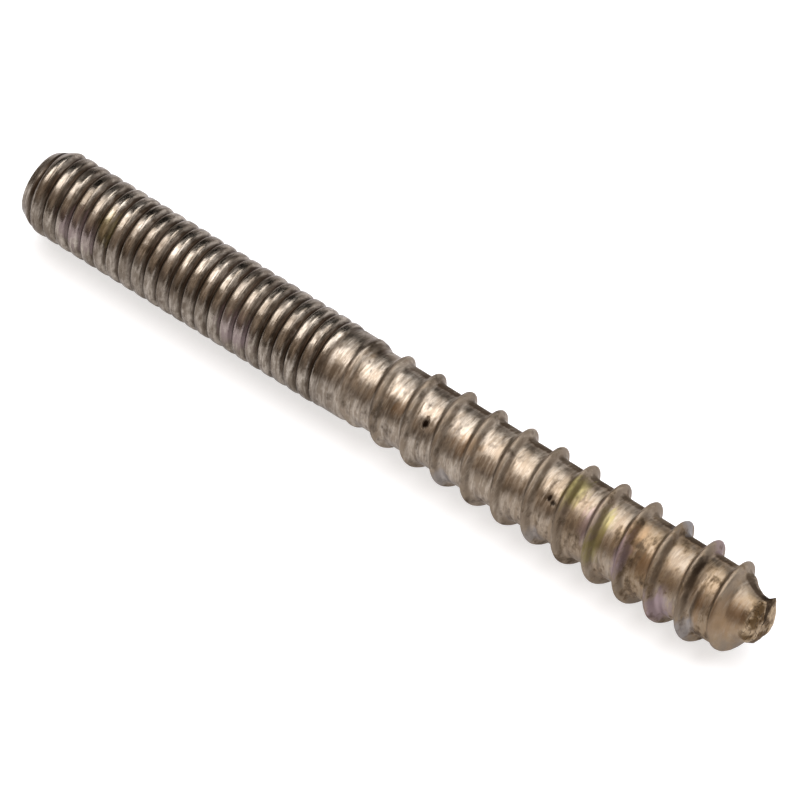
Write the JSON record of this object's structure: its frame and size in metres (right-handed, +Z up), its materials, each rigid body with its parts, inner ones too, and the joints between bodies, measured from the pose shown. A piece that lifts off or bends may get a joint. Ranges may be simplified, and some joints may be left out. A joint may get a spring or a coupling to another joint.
{
  "type": "hanger bolt",
  "caption": "Double-ended hanger bolt: a machine-screw stud and a coarse lag-screw end on one rod, with a plain collar between them.",
  "frame": {"origin": "on the bolt's axis, at the middle of the plain collar between its two threads", "axes": "+X along the axis towards the lag point, +Z up as it lies, +Y completes the right-handed frame"},
  "size_m": [0.0783, 0.009, 0.0089],
  "materials": {
    "plated_steel": "warm grey-brown zinc-chromate plating, handled and slightly scratched, more golden towards the point"
  },
  "bodies": {
    "root": {"hanger_bolt": "plated_steel"}
  },
  "joints": []
}
